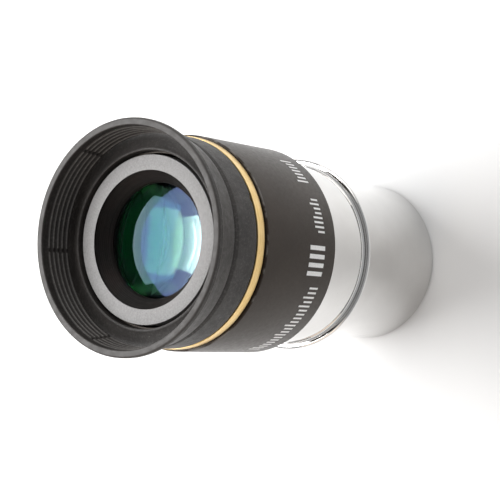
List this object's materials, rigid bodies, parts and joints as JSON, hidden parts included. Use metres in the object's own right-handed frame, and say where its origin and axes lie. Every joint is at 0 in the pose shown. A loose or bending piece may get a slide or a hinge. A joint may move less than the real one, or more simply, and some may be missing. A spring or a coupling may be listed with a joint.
{
  "type": "telescope eyepiece",
  "caption": "Wide-angle telescope eyepiece: black body with a gold ring, fold-down rubber eyecup, coated eye lens and a chrome push-fit barrel that unscrews.",
  "frame": {"origin": "on the optical axis, in the plane of the barrel's open end, which the part stands on", "axes": "+Z along the optical axis towards the eye; the printed marks' middle is in the -Y half"},
  "size_m": [0.0404, 0.0404, 0.0763],
  "materials": {
    "eyecup_collar": "matte moulded rubber",
    "eyecup_skirt": "matte moulded rubber, ribbed inside",
    "eyecup_lip": "matte moulded rubber",
    "face_ring": "grey satin anodised",
    "gold_ring": "gold satin anodised",
    "body": "satin black anodised, white printed marks",
    "lens_cell": "matte black",
    "eye_lens": "polished, green and red multi-coating",
    "spacer_upper": "matte black",
    "middle_lens": "polished, multi-coated",
    "spacer_lower": "matte black",
    "field_lens_crown": "polished, multi-coated",
    "field_lens_flint": "polished, multi-coated",
    "field_retainer": "matte black",
    "chrome_sleeve": "polished chrome",
    "barrel": "polished chrome",
    "field_stop": "matte black",
    "stop_retainer": "matte black"
  },
  "bodies": {
    "housing": {"eyecup_collar": "eyecup_collar", "eyecup_skirt": "eyecup_skirt", "face_ring": "face_ring", "gold_ring": "gold_ring", "body": "body", "lens_cell": "lens_cell", "eye_lens": "eye_lens", "spacer_upper": "spacer_upper", "middle_lens": "middle_lens", "spacer_lower": "spacer_lower", "field_lens_crown": "field_lens_crown", "field_lens_flint": "field_lens_flint", "field_retainer": "field_retainer", "chrome_sleeve": "chrome_sleeve"},
    "cup_lip": {"eyecup_lip": "eyecup_lip"},
    "stop_set": {"field_stop": "field_stop", "stop_retainer": "stop_retainer"},
    "barrel": {"barrel": "barrel"}
  },
  "joints": [
    {"name": "eyecup_fold", "type": "slide", "parent": "housing", "child": "cup_lip", "axis": [0, 0, -1], "range_m": [0, 0.012], "deforming": ["eyecup_skirt"]},
    {"name": "barrel_travel", "type": "slide", "parent": "housing", "child": "stop_set", "axis": [0, 0, -1], "range_m": [0, 0.0045]},
    {"name": "barrel_turn", "type": "hinge", "parent": "stop_set", "child": "barrel", "pos_m": [0, 0, 0], "axis": [0, 0, -1], "range_deg": [0, 2160]}
  ],
  "couplings": [
    {"joint": "barrel_travel", "follows": "barrel_turn", "m_per_rad": 0.00011937}
  ]
}
